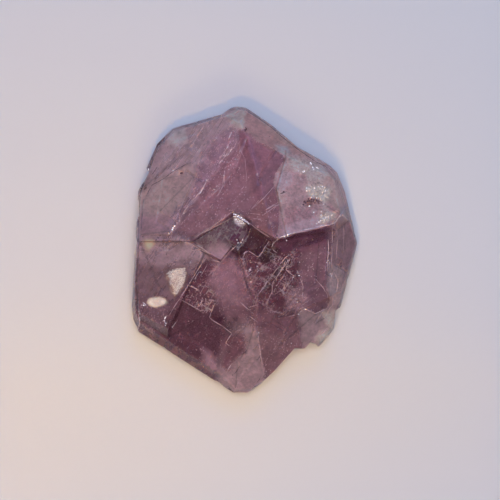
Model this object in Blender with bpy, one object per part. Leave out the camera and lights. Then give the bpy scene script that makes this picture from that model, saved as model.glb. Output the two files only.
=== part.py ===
"""A natural octahedral fluorite crystal, resting on a broken cleavage face.

The crystal is a parallel growth. One main octahedral body has its lower corners broken away, and
four smaller individuals stand a little proud of it and end in ledges. Thin growth layers lie on
its faces, and flakes are missing from its rim. The origin is at the centre of the base, +Z is up,
and +Y is the longer way of the outline.
"""

import math
import random

import bmesh
import bpy
from mathutils import Matrix, Vector

# Driving dimensions, in millimetres. The drawing is made at these sizes and scaled at the end.
MM = 0.001
LENGTH = 50.2
WIDTH = 39.6
SUMMIT = 22.0
LAYER = 0.4
GROWTH_GAP = 0.2
BURIED = 1.6
BLANK = 120.0

# The octahedron's own angle, and the compass turns of its two sets of level face traces.
OCTAHEDRAL = 54.7
TRACE_A = 57.0
TRACE_B = -33.0
FLAKE_SEED = 11

EAST, WEST = WIDTH / 2, -WIDTH / 2
NORTH, SOUTH = LENGTH / 2, -LENGTH / 2

# The widest line, anticlockwise from the east corner. Each corner has its height, and the dips of
# the wall that rises from it and of the underside that falls from it, up to the next corner.
GIRDLE = [
    (EAST, 1.2, 7.0, 80, 66),
    (17.6, 10.2, 8.5, 84, 70),
    (16.2, 13.6, 9.0, 80, 64),
    (15.2, 14.6, 9.2, 86, OCTAHEDRAL),
    (3.2, 22.9, 9.0, 86, 58),
    (0.2, 24.9, 8.8, 84, 62),
    (-1.6, NORTH, 8.6, 80, 57),
    (-12.7, 21.2, 7.6, 78, 60),
    (-15.4, 18.5, 7.2, 81, OCTAHEDRAL),
    (-17.1, 14.6, 7.0, 84, 66),
    (-18.7, 10.2, 6.6, 86, 68),
    (WEST, -9.9, 6.2, 80, 66),
    (-19.6, -12.2, 6.2, 74, 62),
    (-18.6, -14.4, 6.4, 62, OCTAHEDRAL),
    (-2.0, SOUTH, 6.4, 66, 60),
    (0.6, SOUTH, 6.4, 80, OCTAHEDRAL),
    (13.3, -16.8, 6.8, 78, 60),
    (15.5, -14.1, 7.0, 80, 64),
    (17.0, -9.5, 7.0, 77, 63),
    (19.4, -0.6, 7.0, 78, 64),
]

# Corners of the ledges that the individuals end in, in plan.
LEDGE_WEST = (-19.2, 1.8)
LEDGE_BEND = (-9.3, 1.3)
LEDGE_NOTCH = (-1.7, 6.0)
LEDGE_APEX = (5.2, 1.7)
LEDGE_EAST = (15.6, 4.4)
LEDGE_RIM = (17.9, 7.2)
WEST_CORNER = (-7.1, -2.5)
CENTRE_CORNER = (-4.1, -2.1)


class Face:
    """One flat face: a point that it passes through, and its outward normal."""

    def __init__(self, point, normal):
        self.point = Vector(point)
        self.normal = Vector(normal).normalized()

    def moved_in(self, distance):
        return Face(self.point - self.normal * distance, self.normal)

    def flipped(self):
        return Face(self.point, -self.normal)

    def height(self, x, y):
        """The face's z over a plan position."""
        away = self.normal.x * (x - self.point.x) + self.normal.y * (y - self.point.y)
        return self.point.z - away / self.normal.z


def falling(point, turn, dip):
    """A face through a point that falls away towards a compass turn, dip degrees from level."""
    turn, dip = math.radians(turn), math.radians(dip)
    across = math.sin(dip)
    return Face(point, (math.cos(turn) * across, math.sin(turn) * across, math.cos(dip)))


def leaning(start, end, dip, side=1):
    """A face on the line between two corners, with the solid on the left of that line.

    It leans in as it rises, or as it falls when side is -1.
    """
    start, end = Vector(start), Vector(end)
    run = end - start
    inward = Vector((-run.y, run.x, 0)).normalized()
    up = inward * math.cos(math.radians(dip)) + Vector((0, 0, side * math.sin(math.radians(dip))))
    return Face(start, run.cross(up) * side)


def ledge(start, end, dip, z=17.0):
    """A ledge's wall between two plan corners, with the solid on its left."""
    return leaning((*start, z), (*end, z), dip)


# The upper faces.
NORTH_WEST = falling((*LEDGE_APEX, SUMMIT), 137, 18)
NORTH_WEST_STEEP = falling((-6.5, 11.5, 17.0), 140, 34)
NORTH_EAST = falling((*LEDGE_APEX, SUMMIT), TRACE_A, 22)
NORTH_EAST_BEVEL = falling((5.9, 17.3, 16.5), 62, 45)
NORTH_TIP = falling((-0.3, 21.4, 16.2), 95, 50)
SOUTH_WEST = falling((-1.2, 0.0, 18.2), 237, 24)
SOUTH_EAST = falling((-1.2, 0.0, 18.2), 327, 18)
SOUTH_TIP = falling((2.0, -14.3, 13.4), 268, 28)
SOUTH_EAST_LOW = falling((2.0, -14.3, 13.4), 307, 30)
EAST_SLAB = falling((14.7, -3.0, 12.9), 351, 48)
WEST_TOP = falling((*WEST_CORNER, 16.9), 222, 22)
CENTRE_TOP = falling((*CENTRE_CORNER, 18.0), 262, 5)
BREAK_FLOOR = falling((9.7, -10.8, 11.3), 322, 28)
BASE = Face((0, 0, 0), (0, 0, -1))


def shell(inset):
    """The walls and undersides that meet along the girdle, and the base, all moved in."""
    faces = [BASE]
    for i, (x, y, z, wall_dip, under_dip) in enumerate(GIRDLE):
        after = GIRDLE[(i + 1) % len(GIRDLE)][:3]
        faces.append(leaning((x, y, z), after, wall_dip))
        faces.append(leaning((x, y, z), after, under_dip, -1))
    return [face.moved_in(inset) for face in faces]


def finish(name, bm, collection):
    """Turn a drawing in millimetres into an object in metres."""
    bmesh.ops.recalc_face_normals(bm, faces=bm.faces)
    bmesh.ops.scale(bm, vec=(MM, MM, MM), verts=bm.verts)
    mesh = bpy.data.meshes.new(name)
    bm.to_mesh(mesh)
    bm.free()
    made = bpy.data.objects.new(name, mesh)
    collection.objects.link(made)
    return made


def block(name, faces, collection):
    """A convex solid: a large blank trimmed by each of its flat faces in turn."""
    bm = bmesh.new()
    bmesh.ops.create_cube(bm, size=BLANK)
    for face in faces:
        everything = bm.verts[:] + bm.edges[:] + bm.faces[:]
        bmesh.ops.bisect_plane(
            bm,
            geom=everything,
            dist=1e-5,
            plane_co=face.point,
            plane_no=face.normal,
            clear_outer=True,
        )
        rim = [edge for edge in bm.edges if edge.is_boundary]
        if rim:
            bmesh.ops.holes_fill(bm, edges=rim)
    return finish(name, bm, collection)


def individual(name, faces, inset, collection):
    """One crystal of the growth: its own faces, inside the shared girdle."""
    return block(name, faces + shell(inset), collection)


def slab(name, outline, face, low, high, collection):
    """A prism over a plan outline, between two heights measured from a face and parallel to it."""
    bm = bmesh.new()
    corners = [bm.verts.new((x, y, face.height(x, y) + low)) for x, y in outline]
    bottom = bm.faces.new(corners)
    top = bmesh.ops.extrude_face_region(bm, geom=[bottom])["geom"]
    lifted = [part for part in top if isinstance(part, bmesh.types.BMVert)]
    bmesh.ops.translate(bm, vec=(0, 0, high - low), verts=lifted)
    return finish(name, bm, collection)


def strip(start, turn, length, width):
    """The plan outline of a straight strip from a start corner, along a compass turn."""
    spin = Matrix.Rotation(math.radians(turn), 2)
    start = Vector(start)
    along = spin @ Vector((length, 0))
    across = spin @ Vector((0, width))
    return [start, start + along, start + along + across, start + across]


def main_body(collection):
    """The lowest individual, which reaches the whole girdle and the base."""
    tops = [SOUTH_WEST, SOUTH_EAST, SOUTH_TIP, SOUTH_EAST_LOW, EAST_SLAB]
    buried = [NORTH_WEST, NORTH_EAST, NORTH_WEST_STEEP, NORTH_EAST_BEVEL, NORTH_TIP]
    return individual(
        "fluorite_crystal", tops + [face.moved_in(BURIED) for face in buried], 0.0, collection
    )


def north_individual(collection):
    """The high individual. Its south side is notched, so that it ends in a zigzag ledge."""
    tops = [NORTH_WEST, NORTH_WEST_STEEP, NORTH_EAST, NORTH_EAST_BEVEL, NORTH_TIP]
    walls = [
        ledge(LEDGE_WEST, LEDGE_BEND, 82),
        ledge(LEDGE_APEX, LEDGE_EAST, 84, 20.0),
        ledge(LEDGE_EAST, LEDGE_RIM, 80),
    ]
    high = individual("north_individual", tops + walls, GROWTH_GAP, collection)
    notch = block(
        "north_notch",
        [ledge(LEDGE_NOTCH, LEDGE_BEND, 100, 19.0), ledge(LEDGE_APEX, LEDGE_NOTCH, 100, 20.0)],
        collection,
    )
    return high, notch


def north_east_layer(collection):
    """The thick frosted layer on the north-east face."""
    individual(
        "north_east_layer",
        [
            NORTH_EAST.moved_in(-LAYER),
            NORTH_EAST_BEVEL.moved_in(-LAYER / 2),
            ledge((8.2, 17.2), (5.4, 12.2), 60, 17.5),
            ledge((5.4, 12.2), (5.9, 2.0), 60, 19.0),
            ledge(LEDGE_APEX, LEDGE_EAST, 82, 20.2),
            ledge(LEDGE_EAST, LEDGE_RIM, 77, 17.2),
        ],
        GROWTH_GAP * 0.5,
        collection,
    )


def south_individuals(collection):
    """The two low individuals that fill the corner under the ledges."""
    individual(
        "west_individual",
        [
            WEST_TOP,
            ledge((-14.9, -15.3), WEST_CORNER, 74, 14.0),
            ledge((-5.9, -1.1), (-11.0, 1.8), 80),
            falling((-15.0, 2.6, 14.0), 90, 80),
        ],
        GROWTH_GAP * 1.7,
        collection,
    )
    block(
        "centre_individual",
        [
            CENTRE_TOP,
            ledge(CENTRE_CORNER, (0.7, 3.8), 80),
            ledge((-5.9, -1.1), CENTRE_CORNER, 76),
            ledge((0.9, 4.0), (-1.5, 6.2), 90),
            ledge((-1.5, 6.2), (-9.5, 1.5), 90),
            ledge((-9.5, 1.5), (-5.9, -1.1), 76),
            falling((0, 0, 9.0), 0, 180),
        ],
        collection,
    )


def growth_layers(collection):
    """Thin layers that stand up from two of the broad faces."""
    slab(
        "north_west_layer",
        [
            (-16.7, 9.9),
            (-17.6, 8.6),
            (-18.0, 2.6),
            (-13.0, 2.6),
            (-12.1, 4.1),
            (-8.5, 13.6),
            (-9.1, 15.4),
            (-11.8, 13.9),
            (-14.3, 12.4),
        ],
        NORTH_WEST_STEEP,
        -1.0,
        LAYER,
        collection,
    )
    slab(
        "south_west_layer",
        [
            (-11.6, -8.6),
            (-7.6, -10.6),
            (-6.8, -9.9),
            (-4.9, -9.0),
            (-6.1, -11.9),
            (-2.4, -14.7),
            (-3.2, -16.0),
            (-1.0, -14.6),
            (0.9, -12.8),
            (1.5, -9.0),
            (-1.0, -1.8),
            (-4.0, -1.0),
            (-7.0, -2.4),
        ],
        SOUTH_WEST,
        -1.0,
        LAYER * 0.8,
        collection,
    )


    slab(
        "south_east_layer",
        [
            (3.0, -7.6),
            (4.4, -8.5),
            (6.2, -7.5),
            (8.8, -8.2),
            (12.4, -6.0),
            (12.9, 1.6),
            (8.7, 0.1),
        ],
        SOUTH_EAST,
        -1.0,
        LAYER * 0.6,
        collection,
    )


def flakes(collection):
    """Small steps along the crystal's own directions, where flakes have come off its faces."""
    chance = random.Random(FLAKE_SEED)
    faces = [
        ("north_west", NORTH_WEST_STEEP, (-11.0, 15.5), 3.0),
        ("west_layer", NORTH_WEST_STEEP.moved_in(-LAYER), (-15.5, 6.5), 2.0),
        ("north", NORTH_WEST, (-4.0, 12.5), 3.0),
        ("north_east", NORTH_EAST, (2.5, 14.0), 2.0),
        ("frosted_layer", NORTH_EAST.moved_in(-LAYER), (11.5, 9.0), 3.5),
        ("bevel", NORTH_EAST_BEVEL, (5.0, 19.0), 1.0),
        ("west", WEST_TOP, (-13.0, -8.0), 3.5),
        ("south_west", SOUTH_WEST, (-7.0, -15.5), 3.0),
        ("south_tip", SOUTH_TIP, (-0.5, -20.0), 2.0),
        ("south_east", SOUTH_EAST_LOW, (6.0, -14.0), 3.0),
        ("east", EAST_SLAB, (16.4, -4.0), 1.6),
        ("break", BREAK_FLOOR, (12.5, -12.5), 1.5),
    ]
    for name, face, centre, reach in faces:
        for count in range(2):
            turn = chance.choice((TRACE_A, TRACE_A, TRACE_B)) + chance.uniform(-3, 3)
            start = (
                centre[0] + chance.uniform(-reach, reach),
                centre[1] + chance.uniform(-reach, reach),
            )
            outline = strip(start, turn, chance.uniform(2.0, 5.0), chance.uniform(0.3, 0.9))
            depth = chance.uniform(0.12, 0.28)
            slab(f"{name}_flake_{count}", outline, face, -depth, 2.0, collection)


def pits(collection):
    """Four-sided pits, each a small pyramid with its point down in a face."""
    places = [
        ("north_west_pit", NORTH_WEST_STEEP, (-11.0, 13.3), 0.45),
        ("east_pit", EAST_SLAB, (17.2, -3.2), 0.5),
        ("frosted_pit_0", NORTH_EAST.moved_in(-LAYER), (11.3, 8.2), 0.8),
        ("frosted_pit_1", NORTH_EAST.moved_in(-LAYER), (12.6, 8.8), 0.6),
        ("frosted_pit_2", NORTH_EAST.moved_in(-LAYER), (9.9, 7.6), 0.4),
    ]
    for name, face, (x, y), radius in places:
        bm = bmesh.new()
        tilt = face.normal.to_track_quat("Z", "Y").to_matrix().to_4x4()
        bmesh.ops.create_cone(
            bm,
            cap_ends=True,
            segments=4,
            radius1=radius * 0.1,
            radius2=radius * 1.9,
            depth=radius * 1.8,
            matrix=Matrix.Translation((x, y, face.height(x, y))) @ tilt,
        )
        finish(name, bm, collection)


def underside_steps(collection):
    """Two cleavage steps across the broken base, open to the sides of the crystal."""
    up = Face((0, 0, 0), (0, 0, 1))
    slab("base_step_east", strip((3.0, -8.0), TRACE_A, 30, 9.0), up, -1.0, 0.7, collection)
    slab("base_step_north", strip((-14.0, 12.0), TRACE_B, 14, 20.0), up, -1.0, 1.1, collection)


def rim_chips(collection):
    """Places where the girdle is broken back, cut straight through."""
    outlines = {
        "north_east_chip": [(3.4, 23.0), (9.3, 17.8), (15.3, 14.6), (14.0, 22.0), (6.0, 27.0)],
        "north_chip": [
            (-1.8, 25.4),
            (-3.9, 23.7),
            (-8.4, 22.4),
            (-12.8, 21.3),
            (-12.0, 27.0),
            (-3.0, 28.0),
        ],
        "north_west_chip": [
            (-17.3, 14.6),
            (-16.8, 13.5),
            (-17.4, 12.2),
            (-18.8, 10.3),
            (-20.0, 12.0),
            (-19.0, 15.0),
        ],
        "west_chip": [
            (-19.0, 9.0),
            (-18.5, 8.6),
            (-18.4, 6.0),
            (-19.1, 4.6),
            (-21.0, 5.0),
            (-21.0, 9.0),
        ],
        "west_ledge_chip": [
            (-19.4, 3.2),
            (-18.8, 1.4),
            (-19.6, -2.4),
            (-21.0, -2.0),
            (-21.0, 3.0),
        ],
        "south_east_chip": [
            (0.5, -25.4),
            (2.7, -23.6),
            (5.0, -21.5),
            (8.7, -17.3),
            (10.6, -17.3),
            (11.5, -16.2),
            (12.5, -16.5),
            (13.2, -17.3),
            (15.0, -20.0),
            (8.0, -25.0),
        ],
        "east_chip": [(15.7, -13.9), (15.9, -10.7), (17.1, -9.9), (19.0, -10.0), (19.0, -14.0)],
    }
    level = Face((0, 0, 0), (0, 0, 1))
    for name, outline in outlines.items():
        slab(name, outline[::-1], level, -1.0, 30.0, collection)


def south_east_break(collection):
    """The conchoidal bite out of the south-east corner, with a scarp on two of its sides."""
    block(
        "south_east_break",
        [
            BREAK_FLOOR.flipped(),
            ledge((14.8, -8.7), (9.7, -10.8), 80, 14.0),
            ledge((9.7, -10.8), (7.4, -16.0), 76, 14.0),
        ],
        collection,
    )


def fluorite():
    """Clear purple fluorite."""
    material = bpy.data.materials.new("fluorite_purple")
    material.use_nodes = True
    shader = material.node_tree.nodes["Principled BSDF"]
    shader.inputs["Base Color"].default_value = (0.42, 0.2, 0.34, 1.0)
    shader.inputs["Roughness"].default_value = 0.2
    shader.inputs["IOR"].default_value = 1.434
    shader.inputs["Transmission Weight"].default_value = 0.7
    return material


def main():
    for old in list(bpy.data.objects):
        bpy.data.objects.remove(old)
    scene = bpy.context.scene
    crystal_set = bpy.data.collections.new("fluorite_crystal")
    growth_set = bpy.data.collections.new("growth")
    chip_set = bpy.data.collections.new("chips")
    for group in (crystal_set, growth_set, chip_set):
        scene.collection.children.link(group)

    body = main_body(crystal_set)
    body.data.materials.append(fluorite())
    high, notch = north_individual(growth_set)
    cut = high.modifiers.new("notch", "BOOLEAN")
    cut.operation = "DIFFERENCE"
    cut.solver = "EXACT"
    cut.object = notch
    north_east_layer(growth_set)
    south_individuals(growth_set)
    growth_layers(growth_set)
    flakes(chip_set)
    pits(chip_set)
    underside_steps(chip_set)
    rim_chips(chip_set)
    south_east_break(chip_set)

    for group, operation in ((growth_set, "UNION"), (chip_set, "DIFFERENCE")):
        for tool in group.objects:
            tool.hide_render = True
            tool.display_type = "WIRE"
            if tool == notch:
                continue
            step = body.modifiers.new(tool.name, "BOOLEAN")
            step.operation = operation
            step.solver = "EXACT"
            step.object = tool


main()
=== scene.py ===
"""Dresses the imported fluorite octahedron, a loose purple crystal lying on a sheet of paper."""

import math

import bmesh
import bpy
import numpy as np
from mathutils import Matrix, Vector
from mathutils.geometry import delaunay_2d_cdt
from mathutils.kdtree import KDTree


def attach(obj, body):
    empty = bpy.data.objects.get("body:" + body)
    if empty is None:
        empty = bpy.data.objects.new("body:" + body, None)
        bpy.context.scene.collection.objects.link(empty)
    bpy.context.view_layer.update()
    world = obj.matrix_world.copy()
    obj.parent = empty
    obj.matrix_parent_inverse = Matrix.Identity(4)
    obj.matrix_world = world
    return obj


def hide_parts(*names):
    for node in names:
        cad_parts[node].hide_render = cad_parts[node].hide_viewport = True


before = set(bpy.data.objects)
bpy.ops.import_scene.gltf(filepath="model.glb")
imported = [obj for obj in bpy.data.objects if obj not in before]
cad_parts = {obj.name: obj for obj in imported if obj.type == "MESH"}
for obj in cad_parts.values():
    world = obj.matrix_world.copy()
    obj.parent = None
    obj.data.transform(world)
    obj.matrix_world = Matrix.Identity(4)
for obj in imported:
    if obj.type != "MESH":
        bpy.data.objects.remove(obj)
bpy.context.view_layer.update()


# Paper and light. The crystal lies loose on a sheet of white paper under a broad pale light, with
# a small warm lamp in the south-west, a cool window in the north and a weak warm fill in the
# south. The lens looks straight down, from far enough away to keep the faces in true proportion.

PAPER_SHEET = 1.2
PAPER_COLOUR = (0.80, 0.79, 0.80, 1.0)
PAPER_ROUGHNESS = 0.85
LAMP_COLOUR = (1.0, 0.545, 0.12)
LAMP_SPREAD = math.radians(36)
WINDOW_COLOUR = (0.033, 0.318, 1.0)
SKY_COLOUR = (0.87, 0.94, 1.0)
FILL_COLOUR = (1.0, 0.78, 0.38)
ROOM_COLOUR = (0.71, 0.60, 1.0, 1.0)
ROOM_STRENGTH = 0.127
LENS_PLACE = (0.000965, -0.000053, 0.900)
VIEW_DISTANCE = 0.892
VIEW_WIDTH = 0.0877
SENSOR_WIDTH = 36.0


def hang_light(name, colour, *, turn, rise, distance, size, power, aim=(0, 0, 0)):
    """Hangs a square light at a turn and rise in degrees from the crystal, facing the aim."""
    light = bpy.data.lights.new(name, "AREA")
    light.energy = power
    light.size = size
    light.color = colour
    holder = bpy.data.objects.new(name, light)
    turn = math.radians(turn)
    rise = math.radians(rise)
    place = Vector((math.cos(turn) * math.cos(rise), math.sin(turn) * math.cos(rise),
                    math.sin(rise)))
    holder.location = place * distance
    holder.rotation_euler = (Vector(aim) - holder.location).to_track_quat("-Z", "Y").to_euler()
    bpy.context.scene.collection.objects.link(holder)
    return light


def plain_material(name, colour, roughness):
    """A new material with one Principled shader, and that shader."""
    material = bpy.data.materials.new(name)
    material.use_nodes = True
    shader = material.node_tree.nodes["Principled BSDF"]
    shader.inputs["Base Color"].default_value = colour
    shader.inputs["Roughness"].default_value = roughness
    return material, shader


warm_lamp = hang_light("warm_lamp", LAMP_COLOUR, turn=254, rise=80, distance=0.50, size=0.036,
                       power=0.027, aim=(-0.05, -0.035, 0))
warm_lamp.spread = LAMP_SPREAD
hang_light("window", WINDOW_COLOUR, turn=78, rise=62, distance=0.80, size=0.30, power=1.20)
hang_light("sky_light", SKY_COLOUR, turn=95, rise=87, distance=1.30, size=0.30, power=7.2)
hang_light("fill", FILL_COLOUR, turn=282, rise=60, distance=0.90, size=0.26, power=1.1)

room = bpy.data.worlds.new("room")
room.use_nodes = True
background = room.node_tree.nodes["Background"]
background.inputs["Color"].default_value = ROOM_COLOUR
background.inputs["Strength"].default_value = ROOM_STRENGTH
bpy.context.scene.world = room

half = PAPER_SHEET / 2
sheet_mesh = bpy.data.meshes.new("paper")
sheet_mesh.from_pydata([(-half, -half, 0), (half, -half, 0), (half, half, 0), (-half, half, 0)],
                       [], [(0, 1, 2, 3)])
sheet_mesh.materials.append(plain_material("white_paper", PAPER_COLOUR, PAPER_ROUGHNESS)[0])
sheet = bpy.data.objects.new("paper", sheet_mesh)
bpy.context.scene.collection.objects.link(sheet)

lens = bpy.data.cameras.new("lens")
lens.sensor_width = SENSOR_WIDTH
lens.lens = SENSOR_WIDTH * VIEW_DISTANCE / VIEW_WIDTH
lens.clip_start = 0.05
camera = bpy.data.objects.new("camera", lens)
camera.location = LENS_PLACE
bpy.context.scene.collection.objects.link(camera)
bpy.context.scene.camera = camera
bpy.context.scene.view_settings.view_transform = "Standard"


# The crystal. One natural piece of purple fluorite, grown as stepped octahedral layers and broken
# on its cleavages. Each flat face is cut into a fine skin of points, so that growth steps, pits,
# worn edges and frosted patches are real relief on the faces of the solid.

MM = 0.001
TRACE = math.radians(57)        # the way the cleavage lines run
TOP_GRAIN = 0.23                # spacing of the skin's points in mm, on the seen side and below
UNDER_GRAIN = 0.55
SEEN_SIDE = -0.15               # a face is on the seen side if its direction rises above this
ROW_STEP = 0.866                # rows of points stand this much of a spacing apart
SCATTER = 0.16                  # how far a point strays from its row, in spacings
WORN_RIM = 0.12                 # width in mm of the ring of points beside an edge
JOINED = 1e-6                   # points nearer than this are one point
SMALL_FACE = 0.5e-6             # in square metres: the edges of a face this small stay fresh,
LARGE_FACE = 2.5e-6             # and those of one this large are fully worn


def reach(points, outline):
    """Distance in the plane from each point to an outline, positive inside it."""
    x, y = points[:, 0], points[:, 1]
    corners = np.array(outline, dtype=float)
    nearest = np.full(len(points), 1e9)
    inside = np.zeros(len(points), dtype=bool)
    for start, end in zip(corners, np.roll(corners, -1, axis=0)):
        run = end - start
        length = max(run @ run, 1e-12)
        along = np.clip(((x - start[0]) * run[0] + (y - start[1]) * run[1]) / length, 0, 1)
        gap = np.hypot(x - start[0] - along * run[0], y - start[1] - along * run[1])
        nearest = np.minimum(nearest, gap)
        straddles = (start[1] > y) != (end[1] > y)
        rise = run[1] if abs(run[1]) > 1e-12 else 1e-12
        inside ^= straddles & (x < start[0] + run[0] * (y - start[1]) / rise)
    return np.where(inside, nearest, -nearest)


def lattice(i, j, k, seed):
    """A fixed random number from -1 to 1 at each whole-number place, mixed by large primes."""
    n = (i * 374761393 + j * 668265263 + k * 1440662683 + seed * 974634777) & 0xFFFFFFFF
    n = ((n ^ (n >> 13)) * 1274126177) & 0xFFFFFFFF
    return ((n ^ (n >> 16)) & 0xFFFF) / 32767.5 - 1.0


def cloud(points, size, seed, octaves=2):
    """Soft random lumps of the given size in mm, from about -1 to 1.

    Each octave has lumps half as large and a little weaker than the last."""
    fading, shift, gain = 0.55, 31.7, 1.5
    total = np.zeros(len(points))
    weight = 0.0
    for octave in range(octaves):
        place = points / size * (2.0 ** octave) + shift * octave
        low = np.floor(place).astype(np.int64)
        part = place - low
        part = part * part * (3.0 - 2.0 * part)
        value = np.zeros(len(points))
        for corner in range(8):
            step = np.array([corner & 1, (corner >> 1) & 1, corner >> 2])
            share = np.prod(np.where(step == 1, part, 1.0 - part), axis=1)
            cell = low + step
            value += share * lattice(cell[:, 0], cell[:, 1], cell[:, 2], seed + octave)
        total += value * fading ** octave
        weight += fading ** octave
    return total / weight * gain


def turned(points, angle):
    """The points in mm, turned about the upright axis so that x runs along the angle."""
    c, s = math.cos(angle), math.sin(angle)
    return np.column_stack([points[:, 0] * c + points[:, 1] * s,
                            points[:, 1] * c - points[:, 0] * s, points[:, 2]])


def smooth(low, high, value):
    """Rises gently from 0 at the low value to 1 at the high one."""
    t = np.clip((value - low) / (high - low), 0, 1)
    return t * t * (3 - 2 * t)


def cut_faces(node):
    """The flat faces of a CAD node: its loose triangles joined where they lie in one plane."""
    faces = bmesh.new()
    faces.from_mesh(bpy.data.objects[node].data)
    bmesh.ops.remove_doubles(faces, verts=faces.verts, dist=JOINED)
    bmesh.ops.dissolve_limit(faces, angle_limit=math.radians(0.4), verts=faces.verts[:],
                             edges=faces.edges[:])
    faces.normal_update()
    for items in (faces.verts, faces.edges, faces.faces):
        items.index_update()
    return faces


def skin_of(faces):
    """Fine triangles over every flat face, sharing their points along the edges.

    Returns the points in mm, their outward directions, the triangles, how far each point lies
    from the rim of its face, how far the crystal stands out (1) or in (-1) there, and how many
    of the points lie on edges, which come first."""
    chance = np.random.default_rng(7)
    points = [Vector(v.co) / MM for v in faces.verts]
    outward = [sum((f.normal for f in v.link_faces), Vector()).normalized() for v in faces.verts]
    bold = [float(smooth(SMALL_FACE, LARGE_FACE, f.calc_area())) for f in faces.faces]

    def edge_bulge(edge):
        return (1.0 if edge.is_convex else -1.0) * min(bold[f.index] for f in edge.link_faces)

    ridge = [max([edge_bulge(e) for e in v.link_edges], key=abs) for v in faces.verts]
    along = {}
    for edge in faces.edges:
        seen = any(f.normal.z > SEEN_SIDE for f in edge.link_faces)
        start, end = [Vector(v.co) / MM for v in edge.verts]
        pieces = max(1, round((end - start).length / (TOP_GRAIN if seen else UNDER_GRAIN)))
        normal = sum((f.normal for f in edge.link_faces), Vector()).normalized()
        chain = [edge.verts[0].index]
        for step in range(1, pieces):
            chain.append(len(points))
            points.append(start.lerp(end, step / pieces))
            outward.append(normal)
            ridge.append(edge_bulge(edge))
        along[edge.index] = chain + [edge.verts[1].index]
    shared = len(points)
    triangles = []
    rim = [0.0] * shared
    for face in faces.faces:
        grain = TOP_GRAIN if face.normal.z > SEEN_SIDE else UNDER_GRAIN
        border = []
        for loop in face.loops:
            chain = along[loop.edge.index]
            border.extend((chain if chain[0] == loop.vert.index else chain[::-1])[:-1])
        across = face.normal.orthogonal().normalized()
        up = face.normal.cross(across)
        origin = points[border[0]]
        flat = np.array([((points[i] - origin).dot(across), (points[i] - origin).dot(up))
                         for i in border])
        low, high = flat.min(axis=0), flat.max(axis=0)
        rows = np.arange(low[1], high[1], grain * ROW_STEP)
        columns = np.arange(low[0], high[0], grain)
        grid = np.array([(column + (0.5 * grain if i % 2 else 0.0), row)
                         for i, row in enumerate(rows) for column in columns]).reshape(-1, 2)
        grid = grid + chance.uniform(-SCATTER, SCATTER, grid.shape) * grain
        grid = grid[reach(grid, flat) > WORN_RIM + 0.5 * grain]
        sides = np.roll(flat, -1, axis=0) - flat
        lengths = np.maximum(np.hypot(sides[:, 0], sides[:, 1]), 1e-9)[:, None]
        inward = np.column_stack([-sides[:, 1], sides[:, 0]]) / lengths
        ring = flat + sides / 2 + inward * WORN_RIM
        ring = ring[reach(ring, flat) > WORN_RIM * 0.85]
        inner = np.vstack([ring, grid])
        gaps = reach(inner, flat)
        corners = [Vector(p) for p in np.vstack([flat, inner])]
        made = delaunay_2d_cdt(corners, [], [list(range(len(flat)))], 1, JOINED)
        names = {}
        for spot, sources in enumerate(made[3]):
            if sources and sources[0] < len(flat):
                names[spot] = border[sources[0]]
                continue
            names[spot] = len(points)
            place = made[0][spot]
            points.append(origin + across * place.x + up * place.y)
            outward.append(face.normal.copy())
            ridge.append(0.0)
            rim.append(float(gaps[sources[0] - len(flat)]) if sources else WORN_RIM)
        triangles.extend([names[i] for i in triangle] for triangle in made[2])
    return np.array(points), np.array(outward), triangles, np.array(rim), np.array(ridge), shared


def nearest_edge(points, ridge, shared):
    """How far each point is from an edge of any face, and whether that edge stands out."""
    tree = KDTree(shared)
    for i in range(shared):
        tree.insert(points[i], i)
    tree.balance()
    found = [tree.find(p) for p in points]
    return np.array([f[2] for f in found]), np.array([ridge[f[1]] for f in found])


faces = cut_faces("fluorite_crystal")
points, outward, triangles, rim, ridge, shared = skin_of(faces)
faces.free()
gap, stands_out = nearest_edge(points, ridge, shared)
plan = points[:, :2]

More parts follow.
